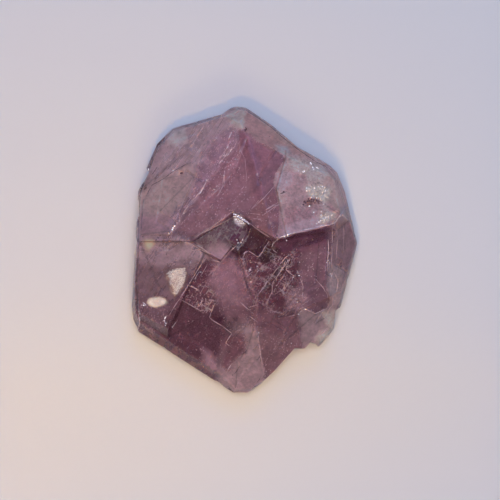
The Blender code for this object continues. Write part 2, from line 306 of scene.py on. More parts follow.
# Zones of the crystal in plan. Each has its colour, how far its border runs out in mm, how
# frosted it is and how many bright chips it carries, then its outline as a run of x and y in
# tenths of a mm. A later zone lies over an earlier one.
ZONES = {
    "north-west face": ((206, 178, 190), 1.0, 0.3, 0.25,
        [-166, 143, -139, 192, -113, 220, -52, 242, -8, 249, -3, 208, -15, 171, -52, 154,
         -104, 140, -148, 112, -169, 105]),
    # paler partly by frosting, partly by a painted sheen of reflected light
    "north-west frost and painted sheen": ((221, 209, 219), 0.6, 0.45, 0.2,
        [-138, 210, -108, 215, -103, 191, -122, 182, -136, 189]),
    "west shoulder": ((219, 186, 192), 0.8, 0.38, 0.35,
        [-201, 87, -166, 115, -139, 129, -96, 150, -78, 136, -82, 101, -103, 66, -120, 38,
         -148, 24, -201, 24]),
    "west shoulder foot": ((200, 160, 177), 1.2, 0.35, 0.3,
        [-201, 63, -148, 59, -113, 59, -124, 28, -201, 21]),
    "violet band": ((200, 159, 180), 1.2, 0.22, 0.5,
        [-57, 189, -8, 213, -13, 182, -36, 157, -57, 126, -78, 98, -99, 70, -117, 38, -131, 31,
         -117, 66, -96, 94, -85, 126, -71, 157]),
    "centre slope": ((183, 133, 150), 1.0, 0.22, 0.3,
        [-11, 182, -34, 154, -64, 108, -92, 66, -113, 35, -96, 21, -52, 40, -18, 63, 20, 66, 10,
         101, -1, 149]),
    "north tip": ((246, 208, 207), 0.8, 0.4, 0.3,
        [-32, 235, -8, 256, 10, 249, 3, 210, -11, 213]),
    "dark wedge": ((179, 128, 144), 0.5, 0.1, 0.15,
        [-1, 208, -8, 182, -3, 154, 3, 122, 11, 92, 18, 68, 31, 84, 45, 101, 59, 105, 53, 122, 61,
         140, 68, 154, 55, 170, 27, 185]),
    "wedge west": ((163, 113, 130), 0.35, 0.1, 0.15,
        [-8, 206, 4, 199, 13, 175, 25, 128, 38, 89, 45, 63, 31, 59, 18, 99, 4, 149, -6, 180]),
    "wedge foot": ((169, 120, 129), 0.7, 0.2, 0.4,
        [18, 70, 41, 101, 66, 105, 64, 78, 59, 21, 41, 21, 17, 45, 3, 59]),
    "north-east bevel": ((213, 173, 175), 0.5, 0.35, 0.25,
        [3, 252, 31, 235, 97, 182, 150, 150, 97, 150, 76, 164, 55, 173, 27, 189, 3, 206]),
    # paler partly by frosting, partly by a painted sheen of reflected light
    "bevel frost and painted sheen": ((250, 216, 228), 0.6, 0.4, 0.2,
        [55, 182, 76, 182, 83, 163, 69, 161]),
    "bevel rim": ((212, 181, 179), 0.5, 0.4, 0.2,
        [10, 249, 31, 236, 103, 178, 150, 152, 129, 152, 80, 182, 31, 220]),
    "frosted patch": ((227, 191, 196), 0.35, 0.75, 1.3,
        [78, 166, 104, 164, 136, 154, 168, 129, 183, 78, 159, 49, 148, 42, 57, 15, 59, 26, 64, 49,
         64, 78, 57, 99, 52, 115, 55, 131, 68, 152]),
    "patch east rim": ((199, 143, 174), 0.5, 0.55, 0.3,
        [153, 136, 173, 113, 182, 77, 164, 63, 150, 66, 152, 94]),
    "patch north": ((248, 208, 210), 0.6, 0.7, 1.0,
        [82, 161, 104, 157, 141, 143, 155, 129, 136, 119, 108, 122, 80, 136]),
    "patch centre": ((204, 170, 179), 0.5, 0.55, 0.9,
        [78, 136, 104, 129, 108, 87, 97, 77, 73, 82, 69, 105]),
    "frosted east side": ((244, 192, 194), 0.9, 0.6, 0.4,
        [146, 147, 171, 126, 183, 82, 164, 59, 150, 77, 143, 112]),
    "cream block": ((250, 212, 206), 0.6, 0.9, 2.5,
        [108, 110, 129, 115, 148, 108, 148, 89, 129, 82, 110, 94]),
    "cream corner": ((243, 198, 192), 0.6, 0.85, 2.0,
        [125, 54, 146, 64, 162, 63, 157, 49, 129, 38]),
    "frosted south": ((199, 154, 167), 0.7, 0.6, 1.2,
        [71, 75, 129, 77, 125, 49, 97, 31, 62, 21, 66, 49]),
    "frosted bump": ((250, 197, 211), 0.4, 0.6, 0.8,
        [55, 129, 69, 136, 82, 129, 80, 112, 64, 103, 55, 112]),
    "east slab": ((168, 130, 146), 0.5, 0.35, 0.4,
        [176, 80, 206, 31, 196, -36, 178, -88, 157, -99, 148, -53, 145, -1, 146, 35, 159, 49]),
    "east slab foot": ((202, 172, 182), 0.8, 0.45, 0.6,
        [145, -22, 168, -29, 169, -53, 176, -81, 157, -102, 148, -71]),
    "south-east break": ((188, 158, 170), 0.7, 0.4, 0.3,
        [101, -102, 125, -113, 150, -92, 164, -106, 160, -141, 132, -176, 97, -176, 83, -155, 90,
         -127]),
    "break cream": ((233, 209, 209), 0.6, 0.5, 0.4,
        [136, -113, 157, -106, 157, -144, 134, -169, 125, -155, 146, -137]),
    # painted shade: the faces below the ledge are coloured darker where the ledge overhangs them
    "painted shade below the ledge": ((163, 105, 134), 0.9, 0.1, 0.2,
        [48, 17, 97, 29, 150, 42, 148, 6, 129, -8, 97, -11, 73, -11, 53, -1]),
    # painted shade: darkest in the corner at the foot of the ledge
    "painted shade at the ledge root": ((71, 45, 75), 0.6, 0.05, 0.2,
        [57, 15, 103, 28, 103, 17, 76, 3, 61, 6]),
    "east floor": ((161, 115, 136), 1.0, 0.15, 0.5,
        [97, -8, 146, 10, 145, -53, 136, -95, 111, -106, 90, -88, 92, -39]),
    "east floor foot": ((153, 112, 134), 0.6, 0.15, 0.4,
        [108, -57, 129, -64, 145, -76, 143, -99, 129, -108, 108, -99, 101, -81]),
    "crack field": ((123, 71, 93), 0.8, 0.25, 0.95,
        [1, 10, 41, 17, 97, -4, 92, -44, 92, -97, 53, -111, 10, -99, -3, -53, -8, -15]),
    # painted shade: a very dark patch east of the notch block, below the ledge
    "painted shade by the block": ((80, 38, 60), 0.3, 0.15, 0.5,
        [4, 40, 24, 29, 43, 15, 38, 5, 25, -11, 10, -2, -3, 5, -1, 17]),
    # painted shade: a deeper band just below the ledge
    "deepest painted shade below the ledge": ((111, 68, 97), 0.5, 0.1, 0.2,
        [52, 14, 71, 19, 103, 28, 145, 38, 145, 21, 104, 6, 76, -2, 57, -6]),
    "dark cell south": ((124, 76, 95), 0.4, 0.15, 0.6,
        [38, -97, 48, -78, 69, -85, 73, -95, 61, -106, 45, -102]),
    "dark cell west": ((95, 52, 75), 0.5, 0.15, 0.4,
        [-59, -116, -53, -101, -43, -93, -27, -104, -32, -122, -39, -132]),
    "dark cells by the seam": ((94, 45, 63), 0.4, 0.15, 1.2,
        [32, -67, 41, -50, 55, -36, 73, -18, 80, -25, 66, -44, 52, -60, 46, -74]),
    "small hollow": ((78, 44, 54), 0.15, 0.1, 0.3,
        [-3, -50, 4, -46, 11, -53, 6, -58]),
    "milky heart": ((168, 122, 142), 1.6, 0.25, 0.5,
        [-57, -25, -29, -13, -4, -25, 10, -60, 10, -95, -18, -120, -39, -106, -57, -81, -68, -53]),
    "heart core": ((191, 144, 167), 1.6, 0.25, 0.3,
        [-53, -32, -25, -25, -11, -46, -18, -78, -43, -81, -61, -60]),
    "south floor": ((153, 108, 126), 1.0, 0.2, 0.3,
        [-1, -95, 53, -109, 90, -116, 97, -141, 62, -151, 27, -148, 3, -134, -15, -120]),
    "west face upper": ((195, 161, 181), 0.9, 0.3, 0.6,
        [-201, 21, -99, 17, -57, -8, -68, -22, -96, -36, -148, -32, -204, -22]),
    "west face middle": ((155, 121, 138), 1.2, 0.3, 0.4,
        [-204, -22, -148, -29, -92, -32, -75, -22, -110, -85, -166, -92, -211, -88]),
    "west face foot": ((154, 116, 135), 1.4, 0.25, 0.4,
        [-211, -88, -166, -88, -110, -85, -148, -155, -201, -141, -215, -109]),
    "dark floor": ((122, 79, 98), 1.2, 0.15, 0.25,
        [-117, -88, -68, -102, -53, -127, -22, -148, -32, -169, -53, -197, -85, -190, -148, -151]),
    "dark step": ((132, 81, 104), 0.8, 0.2, 0.7,
        [-113, -85, -92, -46, -68, -18, -53, -29, -64, -60, -71, -85, -71, -106]),
    "south tip": ((206, 170, 185), 2.0, 0.35, 0.4,
        [-29, -169, -15, -148, 3, -130, 24, -148, 29, -185, 38, -225, 13, -257, -15, -257, -53,
         -236, -39, -197]),
    "south-east face": ((163, 121, 135), 0.6, 0.2, 0.35,
        [25, -150, 62, -148, 94, -141, 101, -172, 45, -229, 34, -204]),
    "south-west rim": ((124, 62, 82), 0.7, 0.3, 0.2,
        [-197, -141, -148, -155, -85, -193, -50, -222, -53, -246, -96, -222, -204, -158]),
    "notch block": ((98, 43, 74), 0.5, 0.7, 0.9,
        [-92, 17, -53, 38, -18, 63, 10, 49, 4, 24, -11, 3, -29, -15, -43, -22, -61, -8]),
    "notch block foot": ((189, 138, 166), 0.8, 0.6, 0.5,
        [-61, 3, -39, 10, -25, -1, -39, -22, -57, -15]),
    "white sliver": ((210, 190, 215), 0.15, 0.6, 8.0,
        [-18, 63, -8, 59, 4, 47, -6, 42, -17, 47]),
    "fan crust": ((159, 118, 121), 0.35, 1.0, 0.0,
        [-103, -31, -102, -41, -103, -51, -106, -58, -111, -67, -116, -75, -122, -81, -127, -76,
         -130, -67, -132, -55, -137, -48, -134, -38, -118, -33]),
    "lens crust": ((244, 212, 201), 0.12, 1.0, 0.0,
        [-169, -92, -166, -86, -157, -84, -146, -84, -139, -87, -135, -92, -143, -96, -153, -99,
         -162, -98, -167, -95]),
    "pit cluster": ((190, 150, 155), 0.25, 0.5, 0.3,
        [101, 87, 110, 89, 120, 89, 129, 87, 131, 80, 120, 80, 111, 75, 103, 78]),
    "rust spot": ((250, 215, 200), 0.5, 0.6, 0.0,
        [-175, 17, -160, 17, -159, 6, -168, -2, -175, 5]),
    "light cell": ((186, 144, 163), 0.6, 0.2, 0.6,
        [75, -81, 87, -71, 99, -67, 106, -85, 106, -104, 90, -108, 76, -101]),
    "dark by the south tip": ((144, 98, 115), 0.9, 0.2, 0.3,
        [-36, -155, -15, -146, 3, -153, -1, -176, -15, -193, -29, -209, -39, -204, -36, -179]),
    "pale streak": ((195, 151, 172), 0.7, 0.3, 0.3,
        [-75, -176, -64, -181, -53, -193, -48, -211, -59, -215, -71, -199]),
    # painted shade: the dark patch east of the notch block runs on here
    "painted shade east of the block": ((71, 36, 53), 0.4, 0.15, 0.8,
        [25, -16, 36, 3, 48, 10, 62, -1, 53, -16, 38, -25]),
    # painted shade: the dark patch at the notch block's foot
    "painted shade at the block foot": ((75, 37, 54), 0.4, 0.15, 0.5,
        [-18, 6, -6, 12, 4, 3, 1, -11, -11, -11, -20, -4]),
    # painted highlight: a pale line along the lit edge of the ledge
    "painted highlight on the ledge lip": ((222, 188, 204), 0.5, 0.6, 0.6,
        [69, 40, 97, 50, 129, 54, 132, 42, 103, 33, 69, 24]),
    "craze in the west": ((142, 92, 112), 0.5, 0.2, 1.7,
        [-96, -72, -71, -62, -53, -72, -53, -102, -71, -109, -90, -95]),
}

BASE_COLOUR = (128, 96, 110)
BASE_FROST = 0.25
BASE_CHIPS = 0.3
ZONE_OVERLAP = 0.15                     # how far a zone reaches past its outline in mm
MOST_STRAY = 0.45                       # how far its border wanders at most in mm,
STRAY_SHARE = 0.6                       # and as a share of how far the border runs out
WALL_COLOUR = (150, 104, 128)
WALL_FROST = 0.2
WALL_SHARE = 0.65                       # how much of its own colour and frost a wall takes
WALL_RISE = 0.25                        # a face is a wall if its direction rises less than this
LIFT = np.array([1.30, 1.30, 1.20])     # makes up for the light lost in the depth of the stone
# painted light along edges: a worn edge is paler, partly a painted highlight, and an inner edge
# darker by painted shade in the crease
EDGE_PALE_WEAR_AND_GLINT = 0.55                        # how much paler a worn edge is,
CREASE_SHADE = 0.45                        # and how much darker an inner one
EDGE_WIDTH = 0.16                       # in mm
DARKEST, PALEST = 0.01, 0.97


def pairs(tenths):
    """Places in mm from a run of x and y in tenths of a mm."""
    return (np.reshape(tenths, (-1, 2)) / 10).tolist()


def linear(colour):
    """Linear light from a colour given as 0 to 255."""
    c = np.array(colour, dtype=float) / 255
    return np.where(c <= 0.04045, c / 12.92, ((c + 0.055) / 1.055) ** 2.4)


# Colour, frosting and chips of the skin, zone over zone with borders that wander. The walls are
# one colour and hardly frosted. Raised edges are worn pale with a painted highlight; inner ones
# get painted shade.
wander = np.column_stack([cloud(points, 2.2, seed, octaves=3) for seed in (21, 22)])
tint = np.tile(linear(BASE_COLOUR), (len(points), 1))
frost = np.full(len(points), BASE_FROST)
chips = np.full(len(points), BASE_CHIPS)
for colour, border, frosted, chipped, outline in ZONES.values():
    strayed = plan + wander * min(MOST_STRAY, border * STRAY_SHARE)
    inside = smooth(-border, border, reach(strayed, pairs(outline)) + ZONE_OVERLAP)
    tint += (linear(colour) - tint) * inside[:, None]
    frost += (frosted - frost) * inside
    chips += (chipped - chips) * inside
wall = WALL_SHARE * smooth(WALL_RISE, 0.0, outward[:, 2])
tint += (linear(WALL_COLOUR) - tint) * wall[:, None]
frost += (WALL_FROST - frost) * wall
tint *= LIFT
patchy = 0.5 + 0.5 * cloud(points, 1.3, seed=25)
# painted highlight on edges that stand out, besides their wear, and painted shade in inner creases
rub_or_crease_shade = np.where(stands_out > 0, EDGE_PALE_WEAR_AND_GLINT * patchy, CREASE_SHADE)
edge_rub_and_shade = np.exp(-((gap / EDGE_WIDTH) ** 2)) * rub_or_crease_shade * stands_out
tint = np.clip(tint * (1 + edge_rub_and_shade)[:, None], DARKEST, PALEST)

# Relief of the faces: broad waves, stepped growth in the two cleavage directions, frosting on
# the etched patch, and small breaks along every edge that stands out. The block in the notch
# sinks away from its foot. Depths, heights and widths are in mm.
FULL_RELIEF = (0.05, 0.5)               # relief begins and is full this far in from a face's rim
WAVE_DEPTH = 0.055
RIPPLE_DEPTH = 0.018
STEP_HEIGHT = 0.008
STEP_COUNT = 2.2
DRAWN_OUT = np.array([0.25, 1.0, 1.0])  # the steps are longer along the cleavage
FULL_ETCH = (0.45, 0.9)                 # etching begins and is full at this much frosting
ETCH_DEPTH = 0.06
ETCHED_PIT_DEPTH = 0.10
ETCHED_PIT_SPREAD = 0.35                # more of this makes wider pits
LEAST_WEAR = 0.015
WEAR_DEPTH = 0.06
FULL_BREAK = (0.5, 0.85)                # breaks begin and are full at this height of their cloud
BREAK_DEPTH = 0.20
BREAK_WIDTH = 0.25
BLOCK_FOOT = np.array([-5.2, -1.8])
BLOCK_CLIMB = np.array([0.51, 0.86])
BLOCK_SINK = 0.014
BLOCK_BORDER = 0.3
BLOCK_TOP_RISE = 0.5                    # its top is where its faces rise more than this
FLAT_FOOT = 0.02
waves = (cloud(points, 5.5, seed=1) * WAVE_DEPTH
         + cloud(points, 1.5, seed=3) * RIPPLE_DEPTH)
terraces = cloud(turned(points, TRACE) * DRAWN_OUT, 1.6, seed=5, octaves=1)
steps = np.round(terraces * STEP_COUNT) / STEP_COUNT * STEP_HEIGHT
pitted = np.minimum(0, cloud(points, 0.5, seed=12, octaves=1) + ETCHED_PIT_SPREAD)
etched = cloud(points, 0.8, seed=9, octaves=3) * ETCH_DEPTH + pitted * ETCHED_PIT_DEPTH
away = smooth(*FULL_RELIEF, rim)
relief = away * (waves + steps * (1 - frost) + etched * smooth(*FULL_ETCH, frost))
worn = (LEAST_WEAR + WEAR_DEPTH * np.clip(cloud(points, 1.1, seed=14, octaves=3), 0, 1)
        + BREAK_DEPTH * smooth(*FULL_BREAK, cloud(points, 2.4, seed=17)))
relief -= np.exp(-((gap / BREAK_WIDTH) ** 2)) * np.clip(stands_out, 0, 1) * worn
climb = np.clip((plan - BLOCK_FOOT) @ BLOCK_CLIMB, 0, None)
on_block = smooth(-BLOCK_BORDER, BLOCK_BORDER, reach(plan, pairs(ZONES["notch block"][-1])))
sunk = on_block * (outward[:, 2] > BLOCK_TOP_RISE) * BLOCK_SINK * climb ** 2
skin = points + outward * relief[:, None]
skin[:, 2] = np.where(points[:, 2] < FLAT_FOOT, points[:, 2],
                      np.maximum(skin[:, 2] - sunk, FLAT_FOOT))

# Where the crust of grains lies: the fan and the lens in the west, the fan thinning out towards
# its western side, and a ragged scatter on the two cream zones.
CRUST_RISE = 0.6                # the crust lies on faces that rise more than this
CREAM_SHARE = 0.62
FAN_EDGE = (-13.9, -12.0)       # the fan thickens between these x in mm, on the line y = -5,
FAN_LEAN = 0.35                 # and further west by this share of the way north
FAN_THIN = 0.2
FAN_GAIN = 0.55
fan = pairs(ZONES["fan crust"][-1])
crust = np.maximum(reach(plan + wander * 0.08, fan),
                   reach(plan + wander * 0.05, pairs(ZONES["lens crust"][-1])))
crust = smooth(-0.05, 0.12, crust) * (outward[:, 2] > CRUST_RISE)
ragged = 0.5 + 0.5 * cloud(points, 0.7, seed=51)
for name in ("cream block", "cream corner"):
    inside = reach(plan + wander * 0.3, pairs(ZONES[name][-1]))
    crust = np.maximum(crust, CREAM_SHARE * smooth(-0.4, 0.5, inside) * ragged)
fan_side = smooth(*FAN_EDGE, plan[:, 0] + FAN_LEAN * (plan[:, 1] + 5.0))
crust *= np.where(reach(plan, fan) > -0.3, FAN_THIN + FAN_GAIN * fan_side, 1.0)

crystal_mesh = bpy.data.meshes.new("crystal")
crystal_mesh.from_pydata((skin * MM).tolist(), [], triangles)
crystal_mesh.shade_smooth()
for name, values in (("frost", frost), ("chips", chips), ("crust", crust)):
    layer = crystal_mesh.attributes.new(name, "FLOAT", "POINT")
    layer.data.foreach_set("value", values.astype(np.float32))
layer = crystal_mesh.attributes.new("tint", "FLOAT_COLOR", "POINT")
opaque_tint = np.column_stack([tint, np.ones(len(tint))])
layer.data.foreach_set("color", opaque_tint.astype(np.float32).ravel())


class Bench:
    """Short ways to add nodes to one tree. Each gives the new node's outputs, or its only one."""

    def __init__(self, tree):
        self.tree = tree

    def add(self, kind, inputs=(), **settings):
        """Adds a node, its inputs set or linked by name or number, and gives its outputs."""
        node = self.tree.nodes.new(kind)
        for label, value in settings.items():
            setattr(node, label, value)
        for label, value in dict(inputs).items():
            if isinstance(label, int):
                socket = node.inputs[label]
            else:
                socket = [i for i in node.inputs if i.name == label and i.enabled][0]
            if isinstance(value, bpy.types.NodeSocket):
                self.tree.links.new(value, socket)
            else:
                socket.default_value = value
        return [o for o in node.outputs if o.enabled]

    def maths(self, operation, first, *others):
        """Works a value together with each of the others in turn."""
        for other in others:
            first = self.add("ShaderNodeMath", {0: first, 1: other}, operation=operation)[0]
        return first

    def times(self, *values):
        """The product of the values."""
        return self.maths("MULTIPLY", *values)

    def plus(self, *values):
        """The sum of the values."""
        return self.maths("ADD", *values)

    def spread(self, value, low, high, start, end):
        """Stretches a value from one range to another, and holds it inside the second."""
        return self.add("ShaderNodeMapRange", {"Value": value, "From Min": low, "From Max": high,
                                               "To Min": start, "To Max": end})[0]

    def vector(self, operation, first, second):
        """Works a vector together with a second one, or scales it by a number."""
        place = "Scale" if operation == "SCALE" else 1
        return self.add("ShaderNodeVectorMath", {0: first, place: second}, operation=operation)[0]


def tree_with(name, kind, takes, gives):
    """A new tree with the named inputs and outputs: the tree, what it is given, what it leaves."""
    tree = bpy.data.node_groups.new(name, kind)
    for label, sort in gives:
        tree.interface.new_socket(name=label, in_out="OUTPUT", socket_type="NodeSocket" + sort)
    for label, sort, value in takes:
        socket = tree.interface.new_socket(name=label, in_out="INPUT",
                                           socket_type="NodeSocket" + sort)
        if value is not None:
            socket.default_value = value
    given = tree.nodes.new("NodeGroupInput").outputs
    return tree, given, tree.nodes.new("NodeGroupOutput").inputs


def grain_group():
    """Shader group: clouding, streaks along the cleavage, specks and right-angled craze lines."""
    group, given, left = tree_with(
        "crystal_grain", "ShaderNodeTree",
        (("Place", "Vector", None), ("Cloud Size", "Float", 1.4), ("Speck Size", "Float", 0.35),
         ("Craze Size", "Float", 1.6)),
        (("Cloud", "Float"), ("Streak", "Float"), ("Speck", "Float"), ("Craze", "Float")))
    on = Bench(group)

    def sized(size, turn=0.0, long=(1, 1, 1)):
        """The place, turned and drawn out, counted in the given size."""
        place = on.add("ShaderNodeMapping", {"Vector": given["Place"], "Rotation": (0, 0, turn),
                                             "Scale": long}, vector_type="TEXTURE")[0]
        return on.vector("SCALE", place, on.maths("DIVIDE", 1.0, given[size]))

    def cells(place, randomness=1.0, **settings):
        """Random cells over the stone: the distance in each, and its colour."""
        return on.add("ShaderNodeTexVoronoi", {"Vector": place, "Scale": 1.0,
                                               "Randomness": randomness}, **settings)[:2]

    clouding = on.add("ShaderNodeTexNoise", {
        "Vector": sized("Cloud Size"), "Scale": 1.0, "Detail": 7.0, "Roughness": 0.62})[0]
    streak = on.add("ShaderNodeTexNoise", {
        "Vector": sized("Cloud Size", TRACE, (4.5, 0.6, 1.2)), "Scale": 1.0, "Detail": 5.0,
        "Roughness": 0.6, "Distortion": 0.4})[0]
    distance, shade = cells(sized("Speck Size", TRACE, (1.7, 1.0, 1.0)))
    pick = on.add("ShaderNodeSeparateColor", {"Color": shade})[0]
    chosen = on.maths("SUBTRACT", on.spread(pick, 0.66, 1.0, 0.0, 0.62), distance)
    speck = on.spread(chosen, 0.0, 0.2, 0.0, 1.0)
    bend = on.add("ShaderNodeTexNoise", {"Vector": given["Place"], "Scale": 0.8, "Detail": 2.0})[1]
    bent = on.vector("ADD", sized("Craze Size", TRACE, (1.4, 1.0, 20.0)),
                     on.vector("SCALE", bend, 0.22))
    first, second = [cells(bent, 0.75, distance="CHEBYCHEV", feature=feature)[0]
                     for feature in ("F1", "F2")]
    craze = on.spread(on.maths("SUBTRACT", second, first), 0.0, 0.075, 1.0, 0.0)
    for label, value in (("Cloud", clouding), ("Streak", streak), ("Speck", speck),
                         ("Craze", craze)):
        group.links.new(value, left[label])
    return group


GRAIN = grain_group()


def grained(on, cloud_size, speck_size, craze_size):
    """Puts the crystal's grain into a material, reading the object's own place in mm."""
    place = on.add("ShaderNodeTexCoord")[0].node.outputs["Object"]
    grain = on.add("ShaderNodeGroup", {
        "Place": on.vector("SCALE", place, 1 / MM), "Cloud Size": cloud_size,
        "Speck Size": speck_size, "Craze Size": craze_size}, node_tree=GRAIN)
    return grain[0].node.outputs


def blended(on, share, first, second):
    """Mixes two colours by a share."""
    return on.add("ShaderNodeMix", {"Factor": share, "A": first, "B": second}, data_type="RGBA")[0]


def finished(name, mesh):
    """A piece with this mesh, in the place of the plain solid."""
    piece = bpy.data.objects.new(name, mesh)
    bpy.context.scene.collection.objects.link(piece)
    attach(piece, "root")
    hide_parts("fluorite_crystal")
    return piece


# Fluorite: a clear purple stone, clouded and streaked along its cleavage. Pale specks and craze
# lines gather where the face is busy, and the etched zones are rougher.
FLUORITE_IOR = 1.434
CLEARNESS = 0.55
SPECK_COLOUR = (0.86, 0.72, 0.74, 1.0)
GRAIN_DEPTH = 0.00007
VEIL_COLOUR = (0.66, 0.42, 0.60, 1.0)
VEIL_DENSITY = 22.0
fluorite, shader = plain_material("purple_fluorite", (0.4, 0.25, 0.3, 1.0), 0.3)
shader.inputs["IOR"].default_value = FLUORITE_IOR
shader.inputs["Transmission Weight"].default_value = CLEARNESS
on = Bench(fluorite.node_tree)
inner_colour = on.add("ShaderNodeAttribute", attribute_name="tint")[0]
busy = on.add("ShaderNodeAttribute", attribute_name="chips")[2]
frosted = on.add("ShaderNodeAttribute", attribute_name="frost")[2]
grain = grained(on, 1.6, 0.30, 1.9)
fine = grained(on, 0.45, 0.16, 0.9)
light = on.spread(grain["Cloud"], 0.32, 0.68, 0.72, 1.28)
streaks = on.spread(grain["Streak"], 0.32, 0.68, 0.94, 1.06)
dust = on.plus(on.times(on.spread(fine["Cloud"], 0.35, 0.65, -0.34, 0.34),
                        on.spread(busy, 0.2, 1.3, 0.4, 1.0)), 1.0)
body = on.vector("SCALE", inner_colour, on.times(light, streaks, dust))
gate = on.spread(grain["Cloud"], 0.46, 0.56, 0.0, 1.0)
craze = on.times(grain["Craze"], gate, on.spread(busy, 0.3, 1.3, 0.0, 0.85))
fine_craze = on.times(fine["Craze"], gate, on.spread(busy, 0.35, 1.3, 0.0, 0.8))
clumped = on.spread(grain["Streak"], 0.42, 0.60, 0.15, 1.15)
strewn = on.spread(fine["Streak"], 0.40, 0.58, 0.1, 1.1)
specks = on.times(grain["Speck"], on.spread(busy, 0.1, 1.2, 0.04, 0.55), clumped)
small_specks = on.times(fine["Speck"], on.spread(busy, 0.2, 1.2, 0.30, 0.85), strewn)
pale = on.maths("MAXIMUM", craze, fine_craze, specks, small_specks)
colour = blended(on, pale, body, SPECK_COLOUR)
rough = on.plus(on.spread(frosted, 0.0, 1.0, 0.12, 0.60), on.times(pale, 0.25),
                on.spread(grain["Streak"], 0.3, 0.7, -0.02, 0.05))
height = on.plus(on.times(grain["Streak"], 0.5), fine["Cloud"], on.times(pale, 0.5))
bump = on.add("ShaderNodeBump", {"Strength": 1.0, "Distance": GRAIN_DEPTH, "Height": height})[0]
veil = on.add("ShaderNodeVolumeAbsorption", {"Color": VEIL_COLOUR, "Density": VEIL_DENSITY})[0]
for value, label in ((colour, "Base Color"), (rough, "Roughness"), (bump, "Normal")):
    on.tree.links.new(value, shader.inputs[label])
on.tree.links.new(veil, on.tree.nodes["Material Output"].inputs["Volume"])
crystal_mesh.materials.append(fluorite)
crystal = finished("crystal", crystal_mesh)


# Cleavage seams. Where the layers of the crystal have parted, a fine pale seam runs over the
# faces, half sunk in the skin, and turns at right angles from one cleavage to the other. A few
# dark seams are painted shade, for step edges and the north-east side wall in shade.

